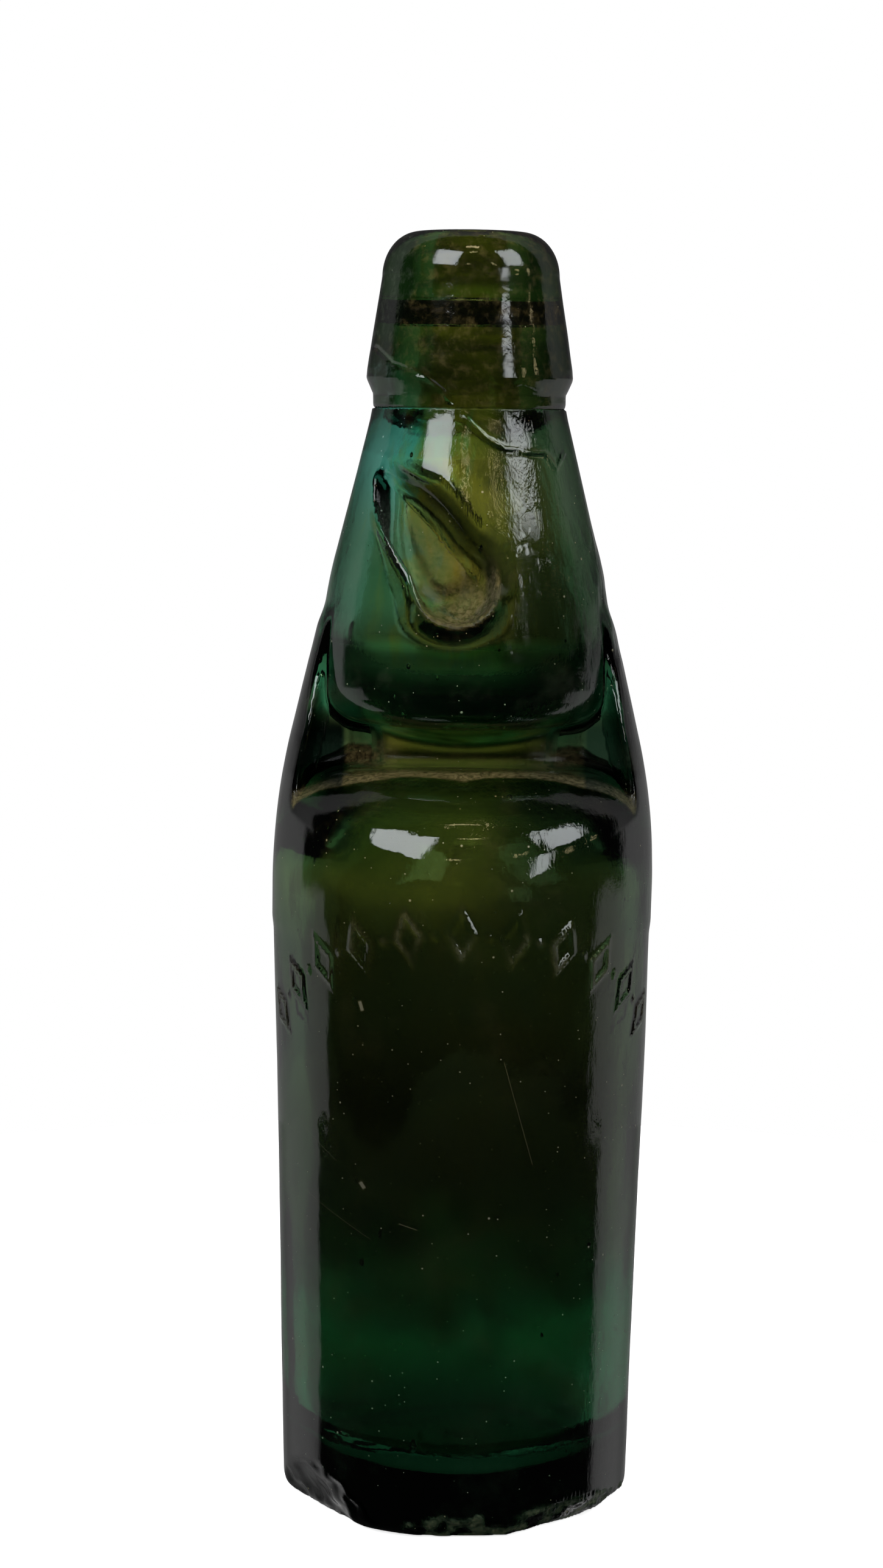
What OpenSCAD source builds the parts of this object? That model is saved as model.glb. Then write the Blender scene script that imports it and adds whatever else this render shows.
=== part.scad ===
// Marble stopper bottle: a thick blown-glass bottle with a pinched waist, two inward lugs
// in its neck chamber, an applied lip, a rubber sealing ring and a loose glass marble.
// Millimetres, +Z up, origin at the middle of the base. The front pinch faces -Y.

/* [Body] */
// Height of the whole bottle
bottle_h = 225; // [215:1:240]
// Diameter of the body at its widest, at the foot of the shoulder
body_d = 67.4; // [64:0.2:72]
// Diameter of the body just above the heel
heel_d = 62; // [58:0.2:66]
// Rounding of the heel
heel_round = 2.2; // [1:0.1:4]
// Height of the widest point of the body
shoulder_z = 110.5; // [95:0.5:116]
// Thickness of the body wall
body_wall = 4.6; // [3.5:0.1:6]
// Thickness of the base at its middle
base_t = 9; // [6:0.5:14]
// Rounding of the floor inside the body
floor_round = 10; // [6:0.5:14]
// Diameter of the hollow under the base
kick_d = 48; // [30:1:52]
// Depth of the hollow under the base
kick_h = 1.4; // [0.5:0.1:3]

/* [Shoulder and waist] */
// Radius of the domed shoulder below the pinch
dome_r = 22; // [19:0.5:24]
// Radius of the long sweep of the outline from body to neck
sweep_r = 120; // [100:5:160]
// Height of the pinch, from the shoulder dome to the underside of the chamber
pinch_h = 4.7; // [3:0.1:7]
// Width of the throat, left to right
throat_w = 41.4; // [37:0.2:44]
// Depth of the throat, front to back
throat_d = 24; // [20:0.5:28]
// Radius of the throat's bowed front and back faces
throat_face_r = 34; // [26:1:60]
// Width of the passage through the throat
slot_w = 28; // [22:0.5:32]
// Depth of the passage through the throat, less than the marble
slot_d = 13; // [11:0.1:14.5]
// Thickness of the webs between the throat and the side ribs
web_t = 10; // [7:0.5:12]
// Width of the side ribs, front to back
rib_w = 25; // [18:0.5:30]
// How far the ribs' front edges lie inside the outline
rib_band = 2.7; // [2:0.1:4]
// How much wider the ribs' roots are than their front edges
rib_root = 3.2; // [1:0.1:5]

/* [Marble chamber] */
// Diameter of the chamber at its widest, above the pinch
chamber_d = 51; // [46:0.2:53]
// Radius of the bend from the chamber's upright side into the neck
chamber_bend_r = 30; // [20:1:60]
// Rounding of the chamber's lower corner
chamber_round = 6.8; // [5:0.1:9]
// Fall of the chamber's underside from its corner to the throat
chamber_fall = 2.6; // [1:0.1:4]
// Thickness of the chamber wall
chamber_wall = 4.8; // [3.5:0.1:6]
// Thickness of the chamber floor around the passage
chamber_floor = 5.8; // [4:0.1:8]
// Thickness of the wall in the neck
neck_wall = 5.8; // [4.5:0.1:7]
// Diameter of the neck under the lip
neck_d = 34.4; // [32:0.2:38]
// Bore of the neck, wide enough for the marble
neck_bore_d = 18; // [17:0.1:20]

/* [Lugs] */
// Radius of the wide lower end of each finger dent
dent_low_r = 7.4; // [6:0.1:8]
// Radius of the narrow upper end of each finger dent
dent_high_r = 3.8; // [2.5:0.1:4.5]
// Height of the lower end of the dents
dent_low_z = 165.5; // [162:0.5:168]
// Height of the upper end of the dents
dent_high_z = 182; // [178:0.5:184]
// Bearing of the lower end, from the front towards the left
dent_low_turn = 4; // [0:1:15]
// Bearing of the upper end, from the front towards the left
dent_high_turn = 50; // [40:1:55]
// Depth of the dents' centre line under the neck's surface at the lower end
dent_low_sink = 0.6; // [0:0.1:2]
// Depth of the dents' centre line under the neck's surface at the upper end
dent_high_sink = 0.4; // [0:0.1:1.5]
// Thickness of the glass behind the dents
lug_wall = 4.2; // [3:0.1:5]

/* [Lip] */
// Height of the applied lip
lip_h = 30.5; // [27:0.5:34]
// Diameter of the lip at its foot
lip_foot_d = 36.1; // [35:0.1:40]
// Diameter of the lip where its side meets the rounded top
lip_top_d = 31; // [29:0.1:34]
// Rounding of the lip's top, which falls by this much
lip_round = 7.8; // [5:0.1:9]
// Diameter of the collar under the lip
collar_d = 33.7; // [32:0.1:35]
// Height of the collar
collar_h = 2.6; // [1.5:0.1:4]
// Height of the chamfer from the collar to the lip's foot
chamfer_h = 2.4; // [1:0.1:4]
// Bore of the mouth, less than the marble
mouth_d = 13.6; // [12.5:0.1:15]
// Rounding of the mouth's edge
mouth_round = 2.2; // [1:0.1:3.4]
// Diameter of the neck's end inside the lip
spigot_d = 26; // [24:0.2:28]
// Height of the neck's end inside the lip
spigot_h = 9; // [6:0.5:11]

/* [Marble and ring] */
// Diameter of the marble
marble_d = 16; // [15.5:0.1:16.5]
// Bore of the sealing ring, less than the marble
ring_bore_d = 12; // [10:0.1:13]
// Height of the sealing ring
ring_h = 4; // [3:0.1:5]
// Height of the glass above the sealing ring
ring_cover = 12.5; // [11:0.5:13]
// How far the ring's groove is cut into the lip beyond the bore
groove_depth = 2.2; // [1.5:0.1:3]
// Rounding of the ring's bore
ring_round = 1; // [0.5:0.1:1.5]
// Gap between the marble and whatever it rests on
marble_gap = 0.3; // [0.2:0.05:0.5]

/* [Hidden] */
$fn = 96;
arc_steps = 12;
cut = 1; // how far a cutter runs past the face it cuts

// Heights, from the base up
dome_top_z = shoulder_z + dome_r;
chamber_foot_z = dome_top_z + pinch_h;
corner_z = chamber_foot_z + chamber_fall + chamber_round;
floor_z = chamber_foot_z + chamber_floor;
lip_z = bottle_h - lip_h;
groove_z = bottle_h - ring_cover - ring_h;

// Radii
body_r = body_d / 2;
heel_r = heel_d / 2;
chamber_r = chamber_d / 2;
neck_r = neck_d / 2;
neck_bore_r = neck_bore_d / 2;
groove_r = neck_bore_r + groove_depth;
ring_bore_r = ring_bore_d / 2;
marble_r = marble_d / 2;

// The outline's straight neck touches the sweep circle at this angle above its centre
sweep_x = body_r - sweep_r;
to_neck = [neck_r - sweep_x, lip_z - shoulder_z];
neck_angle = atan2(to_neck.y, to_neck.x) - acos(sweep_r / norm(to_neck));

// The chamber's upright side bends into the neck line from here
bend_gap = chamber_bend_r * (1 - cos(neck_angle)) / cos(neck_angle);
bend_z = lip_z - (chamber_r + bend_gap - neck_r) / tan(neck_angle);
rib_top_z = bend_z + chamber_bend_r * sin(neck_angle) - 3;

// The marble rests on the long edges of the passage, and seals against the ring's lower edge
rest_z = floor_z + sqrt(pow(marble_r + marble_gap, 2) - pow(slot_d / 2, 2));
seal_z = groove_z + ring_round
    - sqrt(pow(marble_r + ring_round + marble_gap, 2) - pow(ring_bore_r + ring_round, 2));
marble_travel = seal_z - rest_z;
echo(rest_z = rest_z, seal_z = seal_z, marble_travel = marble_travel);

// Radius of the straight neck's outline at height z
function neck_line(z) = neck_r + (lip_z - z) * tan(neck_angle);

// Radius of the long sweep at height z
function sweep_line(z) = sweep_x + sqrt(pow(sweep_r, 2) - pow(z - shoulder_z, 2));

// Radius of the whole outline between shoulder and neck
function outline_r(z) =
    z > shoulder_z + sweep_r * sin(neck_angle) ? neck_line(z) : sweep_line(z);

// Points of an arc about centre c, from angle a to angle b
function arc(c, r, a, b) =
    [for (i = [0 : arc_steps]) c + r * [cos(a + (b - a) * i / arc_steps), sin(a + (b - a) * i / arc_steps)]];

// The same arc, flattened to a height of its own, for the lip's soft top
function oval_arc(c, rx, ry, a, b) =
    [for (i = [0 : arc_steps]) c + [rx * cos(a + (b - a) * i / arc_steps), ry * sin(a + (b - a) * i / arc_steps)]];

// Outline of the body from the middle of the base to its widest point
function body_side() = concat(
    [[0, 0]],
    arc([heel_r - heel_round, heel_round], heel_round, -90, 0),
    [[body_r, shoulder_z]]
);

// The uncut outline across the pinch, which only the side ribs keep. It dives into the
// chamber at its top.
module whole_outline() {
    rotate_extrude()
        polygon(concat(
            [[0, shoulder_z]],
            arc([sweep_x, shoulder_z], sweep_r, 0, neck_angle),
            [[neck_line(rib_top_z), rib_top_z], [0, rib_top_z + neck_r]]
        ));
}

// Body with the domed shoulder that shows below the pinch
module body_blank() {
    rotate_extrude()
        polygon(concat(
            body_side(),
            arc([body_r - dome_r, shoulder_z], dome_r, 0, 90),
            [[0, dome_top_z]]
        ));
}

// Neck and marble chamber above the pinch
module chamber_blank() {
    rotate_extrude()
        polygon(concat(
            [[0, chamber_foot_z], [throat_d / 2, chamber_foot_z]],
            arc([chamber_r - chamber_round, corner_z], chamber_round, -90, 0),
            arc([chamber_r - chamber_bend_r, bend_z], chamber_bend_r, 0, neck_angle),
            [[neck_r, lip_z], [0, lip_z]]
        ));
}

// Flattened throat that joins body and chamber
module throat_blank() {
    face_y = throat_face_r - throat_d / 2;
    root_z = shoulder_z + dome_r / 2;
    translate([0, 0, root_z])
        linear_extrude(corner_z - root_z)
            intersection() {
                circle(d = throat_w);
                translate([0, face_y]) circle(r = throat_face_r);
                translate([0, -face_y]) circle(r = throat_face_r);
            }
}

// Side rib and its web, which keep the whole outline across the pinch.
// side is 1 for the right and -1 for the left.
module side_rib(side) {
    foot_z = shoulder_z + dome_r * 0.6;
    foot_x = outline_r(foot_z) - rib_band;
    top_x = outline_r(corner_z) - rib_band;
    lean = atan2(foot_x - top_x, corner_z - foot_z);
    intersection() {
        whole_outline();
        translate([side * foot_x, 0, foot_z])
            rotate([0, -side * lean, 0])
                linear_extrude(bottle_h, center = true)
                    rib_section(side);
    }
}

// Section through a web and its rib, measured from the rib's front edge
module rib_section(side) {
    half = [
        [-throat_w / 2, web_t / 2],
        [-rib_root, web_t / 2],
        [0, rib_w / 2],
        [throat_w / 2, rib_w / 2]
    ];
    back = [for (i = [len(half) - 1 : -1 : 0]) [half[i].x, -half[i].y]];
    outline = concat(half, back);
    polygon([for (p = outline) [side * p.x, p.y]]);
}

// Centre of a dent's lower or upper end. face is -1 for the front and 1 for the back.
function dent_point(face, z, turn, sink) =
    (outline_r(z) - sink) * [-sin(turn), face * cos(turn), 0] + [0, 0, z];

// Tapered finger shape with round ends: the dent itself, or the lug behind it when grown
module dent(face, grow) {
    low = dent_point(face, dent_low_z, dent_low_turn, dent_low_sink);
    high = dent_point(face, dent_high_z, dent_high_turn, dent_high_sink);
    low_r = dent_low_r + grow;
    high_r = dent_high_r + grow;
    along = high - low;
    gap = norm(along);
    lean = acos(along.z / gap);
    bearing = atan2(along.y, along.x);
    flank = asin((low_r - high_r) / gap);
    translate(low)
        rotate([0, lean, bearing])
            rotate_extrude()
                polygon(concat(
                    arc([0, 0], low_r, -90, flank),
                    arc([0, gap], high_r, flank, 90)
                ));
}

// Space inside the body, from its floor to the underside of the throat
module body_cavity() {
    floor_r = heel_r - body_wall;
    rotate_extrude()
        polygon(concat(
            [[0, base_t]],
            arc([floor_r - floor_round, base_t + floor_round], floor_round, -90, 0),
            arc([body_r - dome_r, shoulder_z], dome_r - body_wall, 0, 90),
            [[0, dome_top_z - body_wall]]
        ));
}

// Flat passage through the throat, which the marble can't enter
module throat_passage() {
    foot = dome_top_z - body_wall - cut;
    translate([0, 0, foot])
        linear_extrude(floor_z + chamber_fall - foot)
            intersection() {
                circle(d = slot_w);
                square([slot_w, slot_d], center = true);
            }
}

// Space inside the chamber and neck, where the marble moves
module chamber_cavity() {
    inner_r = chamber_r - chamber_wall;
    inner_round = chamber_round - 1;
    taper_z = lip_z - 9;
    rotate_extrude()
        polygon(concat(
            [[0, floor_z], [slot_d / 2 + 1, floor_z]],
            arc([inner_r - inner_round, floor_z + chamber_fall + inner_round], inner_round, -90, 0),
            [
                [neck_line(dent_low_z) - neck_wall, dent_low_z],
                [neck_line(taper_z) - neck_wall, taper_z],
                [neck_bore_r, lip_z],
                [neck_bore_r, lip_z + spigot_h + cut],
                [0, lip_z + spigot_h + cut]
            ]
        ));
}

// Shallow hollow under the base, a slice of a large ball
module kick() {
    ball_r = (pow(kick_d / 2, 2) + pow(kick_h, 2)) / (2 * kick_h);
    translate([0, 0, kick_h - ball_r]) sphere(r = ball_r);
}

// Blown body, with its chamber, pinch and lugs, up to the neck's end inside the lip
module bottle_body() {
    color("#0f3a22")
        difference() {
            union() {
                body_blank();
                chamber_blank();
                throat_blank();
                side_rib(1);
                side_rib(-1);
                translate([0, 0, lip_z - cut]) cylinder(d = spigot_d, h = spigot_h + cut);
            }
            kick();
            body_cavity();
            throat_passage();
            difference() {
                chamber_cavity();
                for (face = [-1, 1]) dent(face, lug_wall);
            }
            for (face = [-1, 1]) dent(face, 0);
        }
}

// Lip of separate glass tooled round the neck's end, grooved inside for the ring
module applied_lip() {
    foot_r = lip_foot_d / 2;
    top_r = lip_top_d / 2;
    collar_r = collar_d / 2;
    mouth_r = mouth_d / 2;
    foot_z = lip_z + collar_h + chamfer_h;
    side_z = bottle_h - lip_round;
    land_r = mouth_r + mouth_round;
    color("#1d4a1c")
        rotate_extrude()
            polygon(concat(
                [
                    [spigot_d / 2, lip_z],
                    [collar_r, lip_z],
                    [collar_r, lip_z + collar_h],
                    [foot_r, foot_z],
                    [foot_r, foot_z + chamfer_h / 2]
                ],
                oval_arc([land_r, side_z], top_r - land_r, lip_round, 0, 90),
                oval_arc([land_r, bottle_h - mouth_round], mouth_round, mouth_round, 90, 180),
                [
                    [mouth_r, groove_z + ring_h],
                    [groove_r, groove_z + ring_h],
                    [groove_r, groove_z],
                    [neck_bore_r, groove_z],
                    [neck_bore_r, lip_z + spigot_h],
                    [spigot_d / 2, lip_z + spigot_h]
                ]
            ));
}

// Rubber ring that fills the groove and stands proud of the bore
module sealing_ring() {
    inner_x = ring_bore_r + ring_round;
    color("#2a2018")
        translate([0, 0, groove_z])
            rotate_extrude()
                polygon(concat(
                    [[groove_r, 0], [groove_r, ring_h]],
                    arc([inner_x, ring_h - ring_round], ring_round, 90, 180),
                    arc([inner_x, ring_round], ring_round, 180, 270)
                ));
}

// Glass marble at rest on the throat
module marble() {
    color("#5f8f78") translate([0, 0, rest_z]) sphere(d = marble_d);
}

bottle_body();
applied_lip();
sealing_ring();
marble();
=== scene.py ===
import math

import bpy
import numpy as np
from mathutils import Matrix, Vector


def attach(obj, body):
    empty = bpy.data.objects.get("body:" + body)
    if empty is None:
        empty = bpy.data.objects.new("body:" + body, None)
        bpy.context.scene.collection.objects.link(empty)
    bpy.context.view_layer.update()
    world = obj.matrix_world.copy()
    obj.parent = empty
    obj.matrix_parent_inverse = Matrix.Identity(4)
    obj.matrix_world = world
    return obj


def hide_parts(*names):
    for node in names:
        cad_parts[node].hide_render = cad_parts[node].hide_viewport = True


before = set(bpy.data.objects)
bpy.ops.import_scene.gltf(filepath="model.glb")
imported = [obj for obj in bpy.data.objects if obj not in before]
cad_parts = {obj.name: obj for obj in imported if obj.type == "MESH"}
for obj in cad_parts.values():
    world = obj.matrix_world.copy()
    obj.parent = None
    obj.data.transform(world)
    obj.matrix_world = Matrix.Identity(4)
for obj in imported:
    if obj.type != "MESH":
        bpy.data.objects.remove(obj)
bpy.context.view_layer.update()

MM = 0.001

# Sizes in millimetres, the same as the solids'
BOTTLE_H = 225.0
BODY_R = 33.7
HEEL_R = 31.0
WORN_ROUND = 3.2
SHOULDER_Z = 110.5
BODY_WALL = 4.6
BASE_T = 9.0
FLOOR_ROUND = 10.0
KICK_R = 24.0
KICK_H = 1.4
DOME_R = 22.0
SIGHT_R = 19.5
SWEEP_R = 120.0
THROAT_HALF_W = 20.7
THROAT_HALF_D = 12.0
THROAT_FACE_R = 34.0
SLOT_HALF_W = 14.0
SLOT_HALF_D = 6.5
WEB_HALF = 5.0
RIB_HALF = 12.5
RIB_BAND = 2.7
RIB_ROOT = 3.2
CHAMBER_R = 25.5
CHAMBER_ROUND = 6.8
CHAMBER_FALL = 2.6
CHAMBER_WALL = 4.8
CHAMBER_BEND_R = 80.0
NECK_WALL = 5.8
NECK_R = 17.2
NECK_BORE_R = 9.0
LIP_Z = 194.5
DOME_TOP_Z = SHOULDER_Z + DOME_R
CHAMBER_FOOT_Z = DOME_TOP_Z + 4.7
CORNER_Z = CHAMBER_FOOT_Z + CHAMBER_FALL + CHAMBER_ROUND
FLOOR_Z = CHAMBER_FOOT_Z + 5.8
GROOVE_Z = 208.5
RING_H = 4.0
GROOVE_R = 11.2
MOUTH_R = 6.8
MOUTH_ROUND = 2.2

# The outline's straight neck touches the sweep circle at this angle
SWEEP_X = BODY_R - SWEEP_R
_to_neck = (NECK_R - SWEEP_X, LIP_Z - SHOULDER_Z)
NECK_ANGLE = math.atan2(_to_neck[1], _to_neck[0]) - math.acos(SWEEP_R / math.hypot(*_to_neck))
NECK_SLOPE = math.tan(NECK_ANGLE)


def neck_line(z):
    """Radius of the straight neck's outline at height z."""
    return NECK_R + (LIP_Z - z) * NECK_SLOPE


def outline_r(z):
    """Radius of the whole outline, from the shoulder to the lip."""
    sweep = SWEEP_X + np.sqrt(np.maximum(SWEEP_R**2 - (z - SHOULDER_Z) ** 2, 0))
    return np.where(z > SHOULDER_Z + SWEEP_R * math.sin(NECK_ANGLE), neck_line(z), sweep)


# Profiles and distance fields

def arc(cx, cz, rx, rz, a, b, n=24):
    """Points of an arc about (cx, cz) from angle a to b, in degrees."""
    t = np.radians(np.linspace(a, b, n + 1))
    return [(cx + rx * math.cos(u), cz + rz * math.sin(u)) for u in t]


def lathe(points, r_max, z_low, z_high, step=0.25):
    """Distance field of a profile turned about Z, below 0 inside, read from a fine grid."""
    r = np.arange(0, r_max + step, step)
    z = np.arange(z_low, z_high + step, step)
    R, Z = np.meshgrid(r, z, indexing="ij")
    best = np.full(R.shape, 1e9)
    inside = np.zeros(R.shape, bool)
    for (r0, z0), (r1, z1) in zip(points, points[1:] + points[:1]):
        dr, dz = r1 - r0, z1 - z0
        if z0 != z1:
            cross = (Z >= min(z0, z1)) & (Z < max(z0, z1))
            inside ^= cross & (R < r0 + (Z - z0) * dr / dz)
        if r0 < 1e-6 and r1 < 1e-6:
            continue
        t = np.clip(((R - r0) * dr + (Z - z0) * dz) / max(dr * dr + dz * dz, 1e-12), 0, 1)
        best = np.minimum(best, np.hypot(R - r0 - t * dr, Z - z0 - t * dz))
    table = np.where(inside, -best, best)

    def field(rr, zz):
        u = np.clip(rr / step, 0, len(r) - 1.001)
        v = np.clip((zz - z_low) / step, 0, len(z) - 1.001)
        i, j = u.astype(int), v.astype(int)
        u, v = u - i, v - j
        low = table[i, j] * (1 - u) + table[i + 1, j] * u
        high = table[i, j + 1] * (1 - u) + table[i + 1, j + 1] * u
        return low * (1 - v) + high * v

    return field


def smin(a, b, k):
    """Union with a fillet of about k."""
    h = np.clip(0.5 + 0.5 * (b - a) / k, 0, 1)
    return b + (a - b) * h - k * h * (1 - h)


def smax(a, b, k):
    """Intersection with a fillet of about k."""
    return -smin(-a, -b, k)


def smooth(x):
    x = np.clip(x, 0, 1)
    return x * x * (3 - 2 * x)


def bump(x):
    """A soft bump, 1 at 0 and 0 beyond 1."""
    return np.exp(-3.0 * x * x)


class Noise:
    """Smooth noise in space from a fixed lattice, from -1 to 1."""

    def __init__(self, seed, size=24):
        self.n = size
        self.lattice = np.random.default_rng(seed).uniform(-1, 1, (size,) * 3)

    def __call__(self, x, y, z):
        cells = [np.floor(v).astype(int) for v in (x, y, z)]
        f = [v - c for v, c in zip((x, y, z), cells)]
        f = [v * v * (3 - 2 * v) for v in f]
        out = 0
        for corner in range(8):
            bits = [(corner >> k) & 1 for k in range(3)]
            weight = 1
            for v, b in zip(f, bits):
                weight = weight * (v if b else 1 - v)
            i, j, k = [(c + b) % self.n for c, b in zip(cells, bits)]
            out = out + weight * self.lattice[i, j, k]
        return out


swell = Noise(3)
ripple = Noise(8)
grit = Noise(21)


# The bottle's outside

def body_profile():
    return (
        [(0, KICK_H), (KICK_R * 0.6, KICK_H * 0.62), (KICK_R, 0.12), (KICK_R + 1.5, 0)]
        + arc(HEEL_R - WORN_ROUND, WORN_ROUND, WORN_ROUND, WORN_ROUND, -90, 0, 8)
        + arc(BODY_R - SIGHT_R, DOME_TOP_Z - SIGHT_R, SIGHT_R, SIGHT_R, 0, 90)
        + [(0, DOME_TOP_Z)]
    )


def chamber_profile():
    bend_gap = CHAMBER_BEND_R * (1 - math.cos(NECK_ANGLE)) / math.cos(NECK_ANGLE)
    bend_z = LIP_Z - (CHAMBER_R + bend_gap - NECK_R) / NECK_SLOPE
    centre = CHAMBER_R - CHAMBER_ROUND
    bend = math.degrees(NECK_ANGLE)
    return (
        [(0, CHAMBER_FOOT_Z), (THROAT_HALF_D, CHAMBER_FOOT_Z)]
        + arc(centre, CORNER_Z, CHAMBER_ROUND, CHAMBER_ROUND, -90, 0, 16)
        + arc(CHAMBER_R - CHAMBER_BEND_R, bend_z, CHAMBER_BEND_R, CHAMBER_BEND_R, 0, bend, 10)
        + [(NECK_R + 0.15, LIP_Z - 2.0), (NECK_R - 0.35, LIP_Z + 0.5), (NECK_R - 0.6, LIP_Z + 6), (0, LIP_Z + 6)]
    )


body_field = lathe(body_profile(), 40, -4, 140)
chamber_field = lathe(chamber_profile(), 40, 120, 206)


def throat(x, y, z):
    """Flattened throat between the shoulder and the chamber."""
    face = THROAT_FACE_R - THROAT_HALF_D
    sides = np.hypot(x, y) - THROAT_HALF_W
    faces = np.hypot(x, np.abs(y) + face) - THROAT_FACE_R
    return smax(smax(sides, faces, 2.5), np.abs(z - 133) - 14, 1)


def ribs(x, y, z):
    """Side ribs with their webs, before the outline cuts them."""
    depth = np.abs(x) - (outline_r(z) - RIB_BAND)
    band = RIB_HALF - 3.5 * smooth((z - 138) / 12)
    half = WEB_HALF + (band - WEB_HALF) * smooth(1 + depth / RIB_ROOT)
    return smax(0.8 * (np.abs(y) - half), np.abs(z - 141) - 30.5, 0.8)


# The finger dents and the lugs behind them

DENT_LOW = np.array((-1.7, -23.4, 165.5))
DENT_HIGH = np.array((-15.1, -12.8, 182.2))
DENT_AXIS = (DENT_HIGH - DENT_LOW) / np.linalg.norm(DENT_HIGH - DENT_LOW)
DENT_LONG = np.linalg.norm(DENT_HIGH - DENT_LOW)
_out = (DENT_LOW + DENT_HIGH) * (1, 1, 0)
_out = _out - DENT_AXIS * (_out @ DENT_AXIS)
DENT_OUT = _out / np.linalg.norm(_out)
DENT_SIDE = np.cross(DENT_AXIS, DENT_OUT)


def dent_axes(x, y, z):
    """Place beside the dent's own line: along it, out of the glass and sideways."""
    y = -np.abs(y)
    p = (x - DENT_LOW[0], y - DENT_LOW[1], z - DENT_LOW[2])
    along, out, side = (
        sum(c * v for c, v in zip(p, axis)) for axis in (DENT_AXIS, DENT_OUT, DENT_SIDE)
    )
    return along / DENT_LONG, out, side


def dent(x, y, z):
    """A leaf-shaped hollow with a shallow crease along its floor, narrow at its upper end."""
    t, out, side = dent_axes(x, y, z)
    on = np.clip(t, 0, 1)
    beyond = (t - on) * DENT_LONG
    radius = 7.4 - 0.7 * on - 5.0 * on**3
    deep = 1.12 * out
    round_r = np.sqrt(beyond**2 + deep**2 + side**2)
    keen_r = np.hypot(beyond, np.abs(deep) + np.abs(side))
    keen = 0.72 * smooth(on * 3.5) * smooth((1.12 - on) * 3)
    return round_r * (1 - keen) + keen_r * keen - radius


# Chips out of the foot: shells bitten from its front edge (middle and radius), and long
# breaks (bearing from the front, slope, distance from the axis)

SHELLS = [
    ((-6.4, -32.6, -2.6), 4.6),
    ((-1.2, -33.4, -2.0), 4.6),
    ((4.4, -33.2, -2.6), 4.4),
    ((9.6, -31.6, -2.2), 3.9),
    ((18.4, -26.6, 0.6), 4.2),
    ((13.8, -30.0, -2.6), 3.8),
]
BREAKS = [(-55, 25, 24.2), (3, 41, 20.9), (40, 38, 21.0), (60, 44, 19.7)]


def chips(x, y, z):
    """Above 0 where the foot has chipped away."""
    uneven = 0.30 * np.sin(x * 0.9 + 1.0) * np.sin(z * 1.1) + 0.25 * ripple(x / 2.2, y / 2.2, z / 2.2)
    d = -9.0
    for bearing, slope, away in BREAKS:
        b, e = math.radians(bearing), math.radians(slope)
        face = math.cos(e) * (x * math.sin(b) - y * math.cos(b)) - z * math.sin(e) - away
        d = np.maximum(d, face + uneven)
    for (cx, cy, cz), r in SHELLS:
        d = np.maximum(d, r - np.sqrt((x - cx) ** 2 + (y - cy) ** 2 + (z - cz) ** 2) + 0.3 * uneven)
    return d


def below_chamber(x, y, z, r):
    """The body with its dome a little flatter across the front than a turned one, the throat
    and the ribs, all cut by the outline."""
    stretch = 1 - 0.15 * smooth((z - 102) / 18)
    d = smin(body_field(np.hypot(stretch * x, y), z), throat(x, y, z), 3.0)
    d = smin(d, ribs(x, y, z), 0.1 + 2.5 * smooth((z - 111) / 14))
    sink = 2.5 * smooth((z - 156) / 10)
    edge = 0.2 + 0.9 * smooth((z - 113) / 8)
    return smax(d, 0.97 * (r - outline_r(np.maximum(z, SHOULDER_Z))) + sink, edge)


def outside(x, y, z):
    r = np.hypot(x, y)
    d = smin(below_chamber(x, y, z, r), chamber_field(r, z), 2.2 - 1.2 * smooth((z - 146) / 8))
    _, _, side = dent_axes(x, y, z)
    d = smax(d, -dent(x, y, z), 0.9 + 3.2 * smooth((side - 0.5) / 4))
    return smax(d, chips(x, y, z), 0.25)


# The bottle's inside

def cavity_profile():
    floor_r = HEEL_R - BODY_WALL
    return (
        [(0, BASE_T + 1.2), (floor_r - FLOOR_ROUND - 4, BASE_T + 0.4)]
        + arc(floor_r - FLOOR_ROUND, BASE_T + FLOOR_ROUND, FLOOR_ROUND, FLOOR_ROUND, -90, 0, 12)
        + arc(BODY_R - DOME_R, SHOULDER_Z, DOME_R - BODY_WALL, DOME_R - BODY_WALL, 0, 90)
        + [(0, DOME_TOP_Z - BODY_WALL)]
    )


def chamber_cavity_profile():
    inner_round = CHAMBER_ROUND + 2.6
    low_z, taper_z = 165.5, LIP_Z - 9
    centre, centre_z = CHAMBER_R - CHAMBER_WALL - inner_round, FLOOR_Z + CHAMBER_FALL + inner_round
    way = (neck_line(low_z) - NECK_WALL - centre, low_z - centre_z)
    bend = math.degrees(math.atan2(way[1], way[0]) - math.acos(inner_round / math.hypot(*way)))
    return (
        [(0, FLOOR_Z), (SLOT_HALF_D, FLOOR_Z)]
        + arc(centre, centre_z, inner_round, inner_round, -90, bend, 16)
        + [(neck_line(low_z) - NECK_WALL, low_z), (neck_line(taper_z) - NECK_WALL, taper_z)]
        + [(NECK_BORE_R, LIP_Z), (NECK_BORE_R, LIP_Z + 8), (0, LIP_Z + 8)]
    )


cavity_field = lathe(cavity_profile(), 40, -4, 140)
chamber_cavity_field = lathe(chamber_cavity_profile(), 40, 130, 206)


def slot(x, y, z):
    sides = smax(np.hypot(x, y) - SLOT_HALF_W - 1.0, np.abs(y) - SLOT_HALF_D, 4.0)
    return np.maximum(sides, np.abs(z - 135) - 11)


def inside(x, y, z):
    r = np.hypot(x, y)
    d = smin(cavity_field(r, z), slot(x, y, z), 2.5)
    above = smax(chamber_cavity_field(r, z), 4.2 - dent(x, y, z), 3.0)
    return smin(d, above, 2.0)


def bottle(x, y, z):
    return np.maximum(np.maximum(outside(x, y, z), -inside(x, y, z)), z - LIP_Z - 0.05)


# From a distance field to a mesh

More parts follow.
